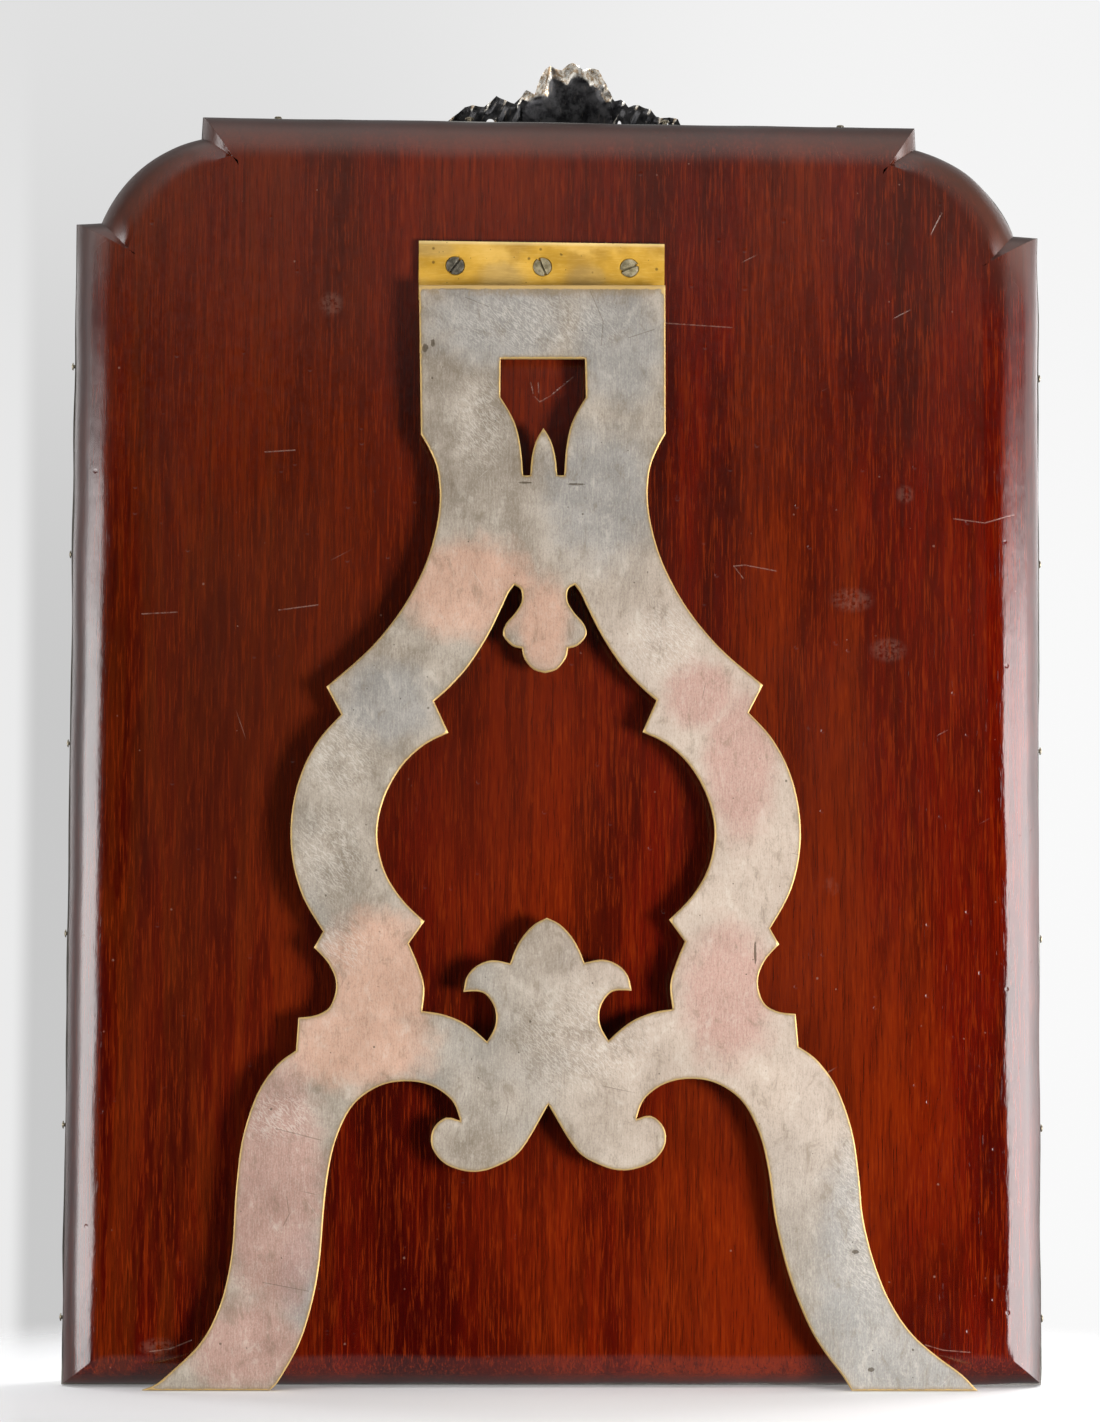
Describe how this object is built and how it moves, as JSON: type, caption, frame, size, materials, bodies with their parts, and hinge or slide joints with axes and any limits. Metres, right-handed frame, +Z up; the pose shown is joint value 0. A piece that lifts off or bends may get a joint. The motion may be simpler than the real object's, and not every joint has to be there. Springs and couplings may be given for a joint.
{
  "type": "easel-back table mirror",
  "caption": "Upright table mirror with a thin silver front mount, shaped top corners, shell crest, thick mahogany back and a hinged, pierced easel strut.",
  "frame": {"origin": "middle of the flat bottom edge that the mirror stands on", "axes": "+Z up along the mirror's height, +Y out of the back towards the strut, +X to the left as seen from the back"},
  "size_m": [0.3538, 0.047, 0.4807],
  "materials": {
    "mahogany": "polished",
    "core_pine": "sawn",
    "mirror_glass": "bevelled, silvered",
    "backing_card": "matt",
    "silver": "polished sterling silver, lightly tarnished",
    "tarnished_silver": "cast silver, tarnished dark at the back",
    "silvered_brass": "worn silver plate over brass",
    "brass": "brushed",
    "steel": "dull"
  },
  "bodies": {
    "frame": {"back_board": "mahogany", "core_bottom_rail": "core_pine", "core_left_stile": "core_pine", "core_right_stile": "core_pine", "core_top_rail": "core_pine", "mirror_plate": "mirror_glass", "mirror_backing": "backing_card", "glazing_block_1": "core_pine", "glazing_block_2": "core_pine", "glazing_block_3": "core_pine", "glazing_block_4": "core_pine", "glazing_block_5": "core_pine", "glazing_block_6": "core_pine", "glazing_block_7": "core_pine", "glazing_block_8": "core_pine", "front_mount": "silver", "crest": "tarnished_silver", "crest_pin_left": "steel", "crest_pin_right": "steel", "mount_nail_01": "steel", "mount_nail_02": "steel", "mount_nail_03": "steel", "mount_nail_04": "steel", "mount_nail_05": "steel", "mount_nail_06": "steel", "mount_nail_07": "steel", "mount_nail_08": "steel", "mount_nail_09": "steel", "mount_nail_10": "steel", "mount_nail_11": "steel", "mount_nail_12": "steel", "mount_nail_13": "steel", "mount_nail_14": "steel", "hinge_leaf": "brass", "hinge_screw_left": "steel", "hinge_screw_middle": "steel", "hinge_screw_right": "steel", "hinge_pin": "steel"},
    "strut": {"strut": "silvered_brass", "strut_leaf": "brass"}
  },
  "joints": [
    {"name": "strut_hinge", "type": "hinge", "parent": "frame", "child": "strut", "pos_m": [0.0072, 0.0247, 0.386], "axis": [1, 0, 0], "range_deg": [0, 29]}
  ]
}
